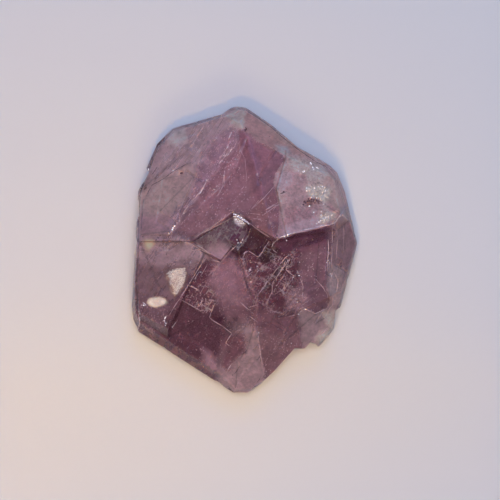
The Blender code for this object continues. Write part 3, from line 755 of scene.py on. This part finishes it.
# Each path has its width as a share of the usual one, then x and y in tenths of a mm.
PALE_SEAMS = [
    (0.95, [24, -13, 31, -4, 36, 5, 43, 15]), (0.89, [7, -2, 15, -7, 24, -13]),
    (0.73, [-3, -8, 7, -2]), (0.89, [50, 15, 49, 6, 50, -1, 57, -6]),
    (0.95, [82, -7, 72, -13, 60, -28, 50, -42, 41, -54, 31, -69, 17, -86]),
    (0.9, [79, -15, 67, -32, 55, -49, 48, -59]), (0.8, [72, -35, 82, -43, 89, -47]),
    (0.7, [83, -46, 84, -59]), (0.7, [76, -59, 67, -74, 68, -79]), (0.89, [77, -58, 68, -72]),
    (0.8, [49, -59, 48, -74, 36, -96]), (0.55, [36, -96, 45, -106, 58, -109, 69, -113]),
    (0.7, [90, -112, 104, -106]), (0.78, [30, -95, 36, -95]), (0.78, [9, -116, 24, -127]),
    (0.78, [8, -100, 25, -95]), (0.95, [124, -51, 138, -67, 142, -75]),
    (0.83, [121, -45, 127, -47]), (0.73, [105, -93, 121, -83]),
    (0.83, [146, 17, 147, 1, 145, -20, 145, -37]), (0.95, [23, -144, 28, -184, 34, -210]),
    (0.95, [100, -100, 110, -105, 124, -112, 145, -102]), (0.83, [154, -76, 155, -105]),
    (0.83, [133, -149, 147, -137]), (1.11, [-103, 15, -79, 2, -59, -8]),
    (1.11, [-59, -12, -55, -18, -41, -22, -25, -3, -13, 8]),
    (0.95, [-68, -15, -78, -30, -88, -46, -101, -67, -114, -87, -124, -102, -132, -116]),
    (1.06, [-114, -86, -107, -89, -88, -100, -74, -107, -69, -103]),
    (1.06, [-45, -86, -55, -100, -61, -118, -56, -123, -39, -133, -22, -146, -33, -163, -22,
     -171]),
    (0.73, [-94, -62, -82, -69]), (0.83, [-63, -45, -55, -37, -41, -23]),
    (0.89, [-73, -83, -76, -95, -82, -100]), (0.89, [-60, -86, -48, -91, -46, -87]),
    (0.83, [-69, -93, -69, -105]), (1.0, [-22, -200, -33, -216]),
    (0.9, [-71, 216, -82, 199, -90, 184]), (0.5, [-47, 195, -64, 184, -78, 173]),
    (0.9, [-22, 205, -25, 203, -27, 194, -28, 191]),
    (0.6, [-11, 195, -17, 179, -34, 162, -47, 144]), (0.5, [-46, 179, -45, 166]),
    (0.5, [-34, 140, -35, 113, -41, 105, -47, 94]),
    (0.6, [-64, 122, -69, 112, -80, 98, -88, 87, -104, 67]), (1.06, [-113, 18, -96, 10, -76, 1]),
    (0.9, [-90, 18, -75, 28, -56, 37, -36, 47, -21, 56]), (0.8, [-7, 246, -17, 235]),
    (0.78, [-100, -61, -77, -72]), (0.78, [-77, -93, -72, -106]),
    (0.78, [-73, -90, -81, -95, -77, -100]), (0.78, [-67, -85, -67, -100]),
    (0.83, [-62, -88, -45, -90]), (0.78, [-65, -27, -77, -47]), (0.73, [-45, -22, -57, -47]),
    (0.6, [-133, -114, -139, -119, -140, -126, -136, -131]),
    (0.78, [-183, -105, -186, -118, -183, -130, -187, -140]), (0.78, [-2, -7, 4, -2]),
    (0.73, [78, -18, 72, -35, 82, -39]), (0.73, [61, -14, 57, -25]), (0.73, [37, -25, 57, -14]),
    (0.73, [14, -19, 31, -27, 27, -32, 11, -56]), (0.73, [14, -38, 3, -48]),
    (0.73, [-8, -14, 0, -19, -2, -27]), (0.73, [21, -27, 29, -35]),
    (0.73, [72, -59, 66, -72, 61, -67]), (0.83, [98, -51, 102, -64, 101, -85]),
    (0.78, [143, -72, 146, -85]), (0.78, [103, -101, 95, -112, 77, -117]),
    (0.78, [-8, -91, 16, -112]), (0.5, [-29, 179, -36, 169, -42, 159]),
    (0.5, [-22, 177, -29, 170, -36, 161]), (0.6, [-60, 126, -78, 98, -95, 82, -114, 51]),
    (0.6, [-129, 105, -124, 109, -117, 106, -115, 99, -120, 93, -127, 96]),
    (0.7, [-171, 140, -166, 142, -161, 138]), (0.73, [160, 57, 162, 17, 160, -22]),
    (0.4, [170, 63, 174, 31, 173, -4]), (0.67, [153, 42, 153, 3, 152, -29]),
    (0.73, [157, -39, 164, -55, 160, -81]), (0.35, [-8, 191, -8, 175, 1, 157, 4, 119]),
    (0.7, [17, 74, 36, 92, 53, 112]), (0.9, [97, 95, 71, 79, 46, 75, 35, 68]),
    (0.7, [66, 83, 48, 71, 31, 59]), (0.7, [67, 78, 67, 61, 68, 43]),
    (0.9, [2, 51, 23, 35, 44, 21]),
    (1.3, [59, 19, 71, 25, 99, 33, 132, 40, 148, 43, 157, 47, 174, 70, 182, 77]),
    (0.6, [9, 63, 17, 62, 27, 61]), (0.45, [15, 54, 25, 53, 34, 49]),
    (0.75, [37, 69, 45, 73, 53, 79, 61, 83]), (0.5, [12, 70, 18, 77, 25, 86]),
    (0.5, [65, 92, 66, 77, 68, 59]), (0.7, [-35, 130, -37, 119, -38, 109, -42, 100, -47, 93]),
    (0.7, [76, -57, 68, -72]), (0.7, [72, -19, 64, -36, 58, -46]),
    (0.6, [56, -63, 64, -51, 70, -42]), (0.6, [2, -4, -3, -15, 1, -18]),
    (0.7, [146, 17, 146, -1, 145, -16, 148, -22]),
]
WHITE_SEAMS = [
    (1.4, [55, 17, 61, 21, 71, 25, 83, 29]), (1.0, [71, 25, 99, 33, 118, 37, 132, 41, 148, 44]),
    (0.8, [148, 44, 157, 48, 174, 70, 182, 77]), (0.7, [-59, -12, -55, -18, -41, -22]),
    (0.8, [-22, 205, -25, 198, -28, 192]), (0.9, [-32, 175, -28, 180]),
    (0.8, [-25, 170, -22, 176]), (0.8, [-30, 163, -26, 168]), (0.7, [-38, 162, -34, 166]),
    (0.7, [-68, 115, -72, 107]), (0.7, [-73, 104, -77, 97]), (0.6, [-39, 157, -45, 149]),
    (0.5, [-78, -37, -88, -53]), (0.7, [-178, -92, -171, -97]),
    (0.6, [-117, -123, -122, -130, -127, -137]), (0.6, [-184, -116, -184, -127, -186, -137]),
    (0.6, [-22, -200, -29, -209, -32, -215]), (0.7, [-85, 9, -73, 3, -59, -8]),
    (0.9, [-65, 123, -68, 116, -70, 111]), (0.7, [-70, 107, -75, 102, -79, 96]),
    (0.9, [48, 4, 49, 10, 53, 14, 58, 18]),
]
# painted shade: dark lines for step edges in shade and for the side wall seen dark along the
# north-east outline
SHADE_SEAMS = [
    (0.6, [13, 242, 29, 227, 52, 208, 71, 192, 91, 176, 108, 164, 124, 153, 141, 145, 157, 137]),
    (0.6, [-96, 152, -122, 138, -142, 123, -161, 113, -172, 94]), (0.9, [-152, 145, -162, 131]),
    (1.0, [1, 214, 4, 208, -3, 203]), (0.8, [62, 97, 73, 101]),
]
HIGH_ABOVE = 0.03       # seams and flakes drop onto the crystal from this height


class LayingBench(Bench):
    """A bench for the trees that lay small things on the crystal."""

    def body_of(self, crystal):
        """The mesh of the crystal where it stands."""
        return self.add("GeometryNodeObjectInfo", {"Object": crystal},
                        transform_space="RELATIVE")[-1]

    def chance(self, low, high, seed):
        """A random number for each point."""
        return self.add("FunctionNodeRandomValue", {"Min": low, "Max": high, "Seed": seed})[0]

    def measured(self, name):
        """A number that each point carries under the name."""
        return self.add("GeometryNodeInputNamedAttribute", {"Name": name})[0]

    def joined(self, x=0.0, y=0.0, z=0.0):
        """A vector from its three parts."""
        return self.add("ShaderNodeCombineXYZ", {0: x, 1: y, 2: z})[0]

    def rise_of_face(self):
        """How far a face looks up, from -1 to 1."""
        return self.add("ShaderNodeSeparateXYZ", {0: self.add("GeometryNodeInputNormal")[0]})[2]

    def dropped_on(self, body):
        """Whether a point has the crystal straight below it, and the place there."""
        return self.add("GeometryNodeRaycast", {
            "Target Geometry": body, "Ray Direction": (0, 0, -1), "Ray Length": 0.05})[:2]

    def finish(self, geometry, material, left):
        """Ends the tree with real faces in one material."""
        solid = self.add("GeometryNodeRealizeInstances", {"Geometry": geometry})[0]
        dressed = self.add("GeometryNodeSetMaterial", {"Geometry": solid, "Material": material})[0]
        self.tree.links.new(dressed, left["Geometry"])


def seam_tree():
    """Tree that lays seams over the crystal: drawn paths, and short straight ones scattered."""
    tree, given, left = tree_with(
        "seams_over_crystal", "GeometryNodeTree",
        (("Paths", "Geometry", None), ("Crystal", "Object", None),
         ("Seam Radius", "Float", 0.00006), ("Point Spacing", "Float", 0.0003),
         ("Wander", "Float", 0.00012), ("Scattered", "Float", 0.0),
         ("Shortest", "Float", 0.0004), ("Longest", "Float", 0.0018), ("Turn", "Float", 0.0),
         ("Seed", "Int", 1), ("Material", "Material", None)), (("Geometry", "Geometry"),))
    on = LayingBench(tree)
    body = on.body_of(given["Crystal"])
    drawn = on.add("GeometryNodeMeshToCurve", {"Mesh": given["Paths"]})[0]

    # Short seams stand on the busy parts of the faces that look up, along either cleavage.
    level = on.maths("GREATER_THAN", on.rise_of_face(), 0.55)
    strong = on.maths("POWER", on.measured("chips"), 1.7)
    spots = on.add("GeometryNodeDistributePointsOnFaces", {
        "Mesh": body, "Density": on.times(strong, level, given["Scattered"]),
        "Seed": given["Seed"]})[0]
    across = on.maths("GREATER_THAN", on.chance(0.0, 1.0, 5), 0.55)
    heading = on.plus(on.times(across, math.pi / 2), given["Turn"], on.chance(-0.05, 0.05, 9))
    length = on.chance(given["Shortest"], given["Longest"], 3)
    line = on.add("GeometryNodeCurvePrimitiveLine", {"Start": (-0.5, 0, 0), "End": (0.5, 0, 0)})[0]
    laid = on.add("GeometryNodeInstanceOnPoints", {
        "Points": spots, "Instance": line, "Rotation": on.joined(z=heading),
        "Scale": on.joined(length, 1.0, 1.0)})[0]
    short = on.add("GeometryNodeRealizeInstances", {"Geometry": laid})[0]

    # Every seam wanders a little, and drops from above onto the crystal.
    both = on.add("GeometryNodeJoinGeometry", {"Geometry": short})[0]
    tree.links.new(drawn, both.node.inputs["Geometry"])
    fine = on.add("GeometryNodeResampleCurve", {"Curve": both, "Length": given["Point Spacing"]},
                  mode="LENGTH")[0]
    here = on.add("GeometryNodeInputPosition")[0]
    noise = on.add("ShaderNodeTexNoise", {"Vector": here, "Scale": 1300.0, "Detail": 3.0})[1]
    shake = on.vector("SCALE", on.vector("SUBTRACT", noise, (0.5, 0.5, 0.5)), given["Wander"])
    flat = on.add("ShaderNodeSeparateXYZ", {0: on.vector("ADD", here, shake)})
    raised = on.add("GeometryNodeSetPosition", {
        "Geometry": fine, "Position": on.joined(flat[0], flat[1], HIGH_ABOVE)})[0]
    hit, place = on.dropped_on(body)
    kept = on.add("GeometryNodeDeleteGeometry", {
        "Geometry": raised,
        "Selection": on.add("FunctionNodeBooleanMath", {0: hit}, operation="NOT")[0]},
        domain="POINT")[0]
    landed = on.add("GeometryNodeSetPosition", {"Geometry": kept, "Position": place,
                                                "Offset": (0, 0, 0.00003)})[0]

    # It thins towards both ends, and swells and narrows unevenly between them.
    width = on.maths("MAXIMUM", on.measured("width"), 0.3)
    along = on.add("GeometryNodeSplineParameter")[0]
    taper = on.spread(on.times(along, on.maths("SUBTRACT", 1.0, along)), 0.0, 0.10, 0.3, 1.0)
    uneven = on.add("ShaderNodeTexNoise", {"Scale": 900.0, "Detail": 2.0})[0]
    uneven = on.spread(uneven, 0.35, 0.65, 0.15, 1.4)
    ring = on.add("GeometryNodeCurvePrimitiveCircle", {"Resolution": 5, "Radius": 1.0})[0]
    tube = on.add("GeometryNodeCurveToMesh", {
        "Curve": landed, "Profile Curve": ring, "Fill Caps": True,
        "Scale": on.times(width, taper, uneven, given["Seam Radius"])})[0]
    on.finish(tube, given["Material"], left)
    return tree


def bare_mesh(widths, places, edges=()):
    """A mesh of bare points and edges above the crystal, each point carrying its width."""
    mesh = bpy.data.meshes.new("start")
    mesh.from_pydata([(x * MM, y * MM, HIGH_ABOVE) for x, y in places], edges, [])
    mesh.attributes.new("width", "FLOAT", "POINT").data.foreach_set("value", widths)
    return mesh


def drawn_paths(paths):
    """Bare edges along the paths."""
    widths, places, edges = [], [], []
    for width, tenths in paths:
        path = pairs(tenths)
        edges.extend((len(places) + i, len(places) + i + 1) for i in range(len(path) - 1))
        places.extend(path)
        widths.extend([width] * len(path))
    return bare_mesh(widths, places, edges)


def grown(name, start_mesh, tree, material, inputs):
    """Runs a tree on a mesh with the given inputs, and keeps the result as one plain piece."""
    seedling = bpy.data.objects.new(name + "_start", start_mesh)
    bpy.context.scene.collection.objects.link(seedling)
    modifier = seedling.modifiers.new(name, "NODES")
    modifier.node_group = tree
    inputs = {"Crystal": crystal, "Turn": TRACE, "Material": material, **inputs}
    for item in tree.interface.items_tree:
        if item.in_out == "INPUT" and item.name in inputs:
            modifier[item.identifier] = inputs[item.name]
    bpy.context.view_layer.update()
    ready = seedling.evaluated_get(bpy.context.evaluated_depsgraph_get())
    mesh = bpy.data.meshes.new_from_object(ready)
    mesh.name = name
    mesh.materials.clear()
    mesh.materials.append(material)
    mesh.polygons.foreach_set("material_index", [0] * len(mesh.polygons))
    seedling.modifiers.remove(modifier)
    bpy.data.objects.remove(seedling)
    finished(name, mesh)


def broken_stone(name, colour, other, roughness):
    """Broken fluorite along a seam or on a chip, or dark painted shade, its colour going between
    two shades.
    """
    material, shader = plain_material(name, colour, roughness)
    on = Bench(material.node_tree)
    mask = on.spread(grained(on, 1.1, 0.4, 1.5)["Cloud"], 0.38, 0.62, 0.0, 1.0)
    on.tree.links.new(blended(on, mask, colour, other), shader.inputs["Base Color"])
    return material


SEAMS = seam_tree()
pale_break = broken_stone("pale_break", (0.90, 0.66, 0.68, 1.0), (0.55, 0.34, 0.38, 1.0), 0.45)
# painted shade in part: this dark material draws the dark seams that stand for shade, and the dark
# pits
broken_dark_and_shade = broken_stone("broken_dark_and_shade", (0.13, 0.065, 0.085, 1.0), (0.22, 0.12, 0.14, 1.0), 0.9)
white_break = broken_stone("white_break", (0.97, 0.88, 0.92, 1.0), (0.74, 0.60, 0.66, 1.0), 0.18)
grown("pale_seams", drawn_paths(PALE_SEAMS), SEAMS, pale_break, {
    "Seam Radius": 0.000076, "Point Spacing": 0.00018, "Wander": 0.00006,
    "Scattered": 120000.0, "Shortest": 0.0003, "Longest": 0.0011, "Seed": 4})
grown("white_seams", drawn_paths(WHITE_SEAMS), SEAMS, white_break, {
    "Seam Radius": 0.0001, "Point Spacing": 0.00022, "Wander": 0.00012})
grown("dark_seams", drawn_paths(SHADE_SEAMS), SEAMS, broken_dark_and_shade, {
    "Seam Radius": 0.00009, "Point Spacing": 0.00028, "Wander": 0.00018})


# Chips and grains. Tiny flakes have sprung from the busiest faces and the worn ridges, and a
# crust of minute fluorite grains covers two small patches in the west. Each is one few-sided
# grain laid on the skin. The placed flakes are flat plates that lie level and flash.

# Each group has its size as a share of the usual one, then x and y in tenths of a mm.
BRIGHT_CHIPS = [
    (0.9, [-134, -1, -94, -22, -180, -97]),
    (0.8, [-125, 138, -132, 82, -167, 64, -134, 26, 11, -22, 31, -37, 96, -22, 120, -34]),
    (1.0, [96, -45, 92, -91, 106, -103, 9, -34, 22, -29, 85, -48, 3, -36]),
    (1.3, [-125, 33, -131, 28, -13, 17, -6, 12, -11, 12, -3, 17]),
]
WHITE_CHIPS = [
    (1.0, [-18, 62, -15, 61, -12, 57, -10, 59, -8, 55, -5, 56, -3, 53, 0, 52]),
    (0.9, [2, 49, 5, 48, -16, 57, -14, 53, -10, 53, -8, 50, -4, 50]),
    (0.75, [-2, 46, -12, 49, -6, 46, -16, 52, -19, 58, 7, 45, -10, 45]),
    (0.9, [-124, 38, -121, 41, -125, 35, 75, 26, 69, 23, 80, 28, -168, 141]),
    (0.75, [102, 135, 119, 143, 126, 143, 115, 151, 113, 76, 75, 24, 120, 65]),
    (0.6, [104, 136, 120, 140, 128, 141, 116, 149, 112, 75, 138, 79, 133, 66, 57, 17]),
    (0.6, [108, 107, 108, 102, 121, 107, 135, 110, 141, 102, 119, 94, 116, 91, 125, 90]),
    (0.5, [94, 137, 76, 127, 97, 123, 92, 115, 115, 110, 128, 109, 112, 105, 135, 99]),
    (0.6, [129, 48, 141, 55, 132, 50, 125, 45, 133, 60, 111, 36, 102, 34, 73, 16]),
    (0.45, [137, 53, 145, 57, 151, 59, 127, 51, 107, 36, 61, 20, 113, 50, 104, 43]),
    (0.5, [-176, -93, -173, -97, -76, -39, -85, -50, 11, -32, 8, -37, 92, -39, 90, -86, -138, -1,
     -132, 6]),
    (0.5, [-113, 50, -103, 12, -24, 147, -36, 129, -53, 105, -69, 85, -48, 110, -15, 157, -8,
     171]),
    (0.5, [-112, 178, -49, 194, -79, 172, -124, 138, -132, 82, -167, 64, -105, 63]),
    (0.45, [-30, 152, -27, 139, -29, 178, -32, 163, -24, 171, -38, 154, -160, 94, -169, 138]),
    (0.7, [10, -35, 95, -45, 92, -91, 106, -104]),
    (0.45, [22, -29, 30, -33, 75, -18, 95, -113, 11, -56, 84, -64, 68, -76, 25, -145]),
    (0.5, [82, -164, 146, 2, 146, -19, 150, -42, 150, -64, 149, -23, 152, -46, 143, -22]),
    (0.9, [-176, -97, -138, -118, -139, -120, -140, -124]),
    (0.55, [-185, -108, -184, -112, -183, -119, -183, -123, -185, -133, -187, -139, -137, -128,
     -138, -132]),
]
DARK_CHIPS = [
    (1.6, [104, 83, 109, 84, 112, 85, 116, 87, 120, 86, 124, 84, 128, 83]),
    (1.2, [102, 78, 106, 81, 116, 83, 119, 83, 122, 81, 111, 88, 126, 86, 129, 80]),
    (1.3, [-111, 133, -109, 134, 168, -29, 166, -26, 168, -24, 3, 210, 1, 208, 68, 100, 56, 24]),
]


def grain_tree():
    """Tree that lays grains on the crystal: placed flakes, and ones strewn by an attribute."""
    tree, given, left = tree_with(
        "grains_on_crystal", "GeometryNodeTree",
        (("Spots", "Geometry", None), ("Crystal", "Object", None), ("Where", "String", "chips"),
         ("Density", "Float", 0.0), ("Patches", "Float", 1.0), ("Smallest", "Float", 0.00003),
         ("Largest", "Float", 0.00012), ("Placed Size", "Float", 0.00012),
         ("Stretch", "Vector", (1.0, 1.0, 1.0)), ("Turn", "Float", 0.0),
         ("Seed", "Int", 1), ("Material", "Material", None)), (("Geometry", "Geometry"),))
    on = LayingBench(tree)
    body = on.body_of(given["Crystal"])

    # Placed flakes: flat five-sided plates that drop onto the crystal and lie nearly level.
    plate = on.add("GeometryNodeMeshCone", {"Vertices": 5, "Radius Top": 0.8,
                                            "Radius Bottom": 1.0, "Depth": 1.0})[0]
    plate = on.add("GeometryNodeTransform", {"Geometry": plate, "Translation": (0, 0, -0.5)})[0]
    plate = on.add("GeometryNodeSetShadeSmooth", {"Geometry": plate, "Shade Smooth": False})[0]
    hit, place = on.dropped_on(body)
    landed = on.add("GeometryNodeSetPosition", {"Geometry": given["Spots"], "Selection": hit,
                                                "Position": place})[0]
    dots = on.add("GeometryNodeMeshToPoints", {"Mesh": landed})[0]
    large = on.times(on.measured("width"), given["Placed Size"])
    placed = on.add("GeometryNodeInstanceOnPoints", {
        "Points": dots, "Instance": plate,
        "Rotation": on.joined(x=on.chance(-0.04, 0.04, 22), z=on.chance(0.0, 6.28, 21)),
        "Scale": on.joined(large, large, large)})[0]

    # Strewn grains: as thick as the attribute says, in patches, few large ones among many small.
    level = on.maths("GREATER_THAN", on.rise_of_face(), 0.3)
    strong = on.maths("POWER", on.measured(given["Where"]), 1.6)
    here = on.add("GeometryNodeInputPosition")[0]
    patchy = on.add("ShaderNodeTexNoise", {"Vector": here, "Scale": 420.0, "Detail": 3.0})[0]
    patchy = on.spread(patchy, 0.45, 0.62, 0.12, 1.6)
    even = on.plus(on.times(on.maths("SUBTRACT", patchy, 1.0), given["Patches"]), 1.0)
    spots = on.add("GeometryNodeDistributePointsOnFaces", {
        "Mesh": body, "Density": on.times(strong, level, even, given["Density"]),
        "Seed": given["Seed"]})
    size = on.spread(on.maths("POWER", on.chance(0.0, 1.0, 2), 3.0), 0.0, 1.0,
                     given["Smallest"], given["Largest"])
    heading = on.plus(given["Turn"], on.chance(-0.5, 0.5, 13))
    upright = on.add("FunctionNodeAlignRotationToVector", {
        "Rotation": on.joined(z=heading), "Vector": spots[1]}, axis="Z")[0]
    grain = on.add("GeometryNodeMeshIcoSphere", {"Radius": 1.0, "Subdivisions": 1})[0]
    strewn = on.add("GeometryNodeInstanceOnPoints", {
        "Points": spots[0], "Instance": grain, "Rotation": upright,
        "Scale": on.vector("SCALE", given["Stretch"], size)})[0]
    both = on.add("GeometryNodeJoinGeometry", {"Geometry": placed})[0]
    tree.links.new(strewn, both.node.inputs["Geometry"])
    on.finish(both, given["Material"], left)
    return tree


def placed_spots(groups):
    """Single points, each carrying its flake's size."""
    spots = [(size, place) for size, tenths in groups for place in pairs(tenths)]
    return bare_mesh([size for size, place in spots], [place for size, place in spots])


GRAINS = grain_tree()
chip_break = broken_stone("chip_break", (0.80, 0.66, 0.69, 1.0), (0.42, 0.27, 0.31, 1.0), 0.3)
crust_grain = broken_stone("crust_grain", (1.0, 0.91, 0.82, 1.0), (0.84, 0.69, 0.62, 1.0), 0.6)
grown("chips", placed_spots(BRIGHT_CHIPS), GRAINS, chip_break, {
    "Density": 1100000.0, "Smallest": 0.00003, "Largest": 0.00008, "Placed Size": 0.00013,
    "Stretch": (1.8, 0.7, 0.4), "Seed": 6})
grown("white_flakes", placed_spots(WHITE_CHIPS), GRAINS, white_break, {"Placed Size": 0.00019})
grown("dark_pits", placed_spots(DARK_CHIPS), GRAINS, broken_dark_and_shade, {"Placed Size": 0.00016})
grown("crust", placed_spots([]), GRAINS, crust_grain, {
    "Where": "crust", "Density": 115000000.0, "Patches": 0.0, "Smallest": 0.00007,
    "Largest": 0.00011, "Stretch": (1.0, 1.0, 0.45), "Turn": 0.0, "Seed": 8})
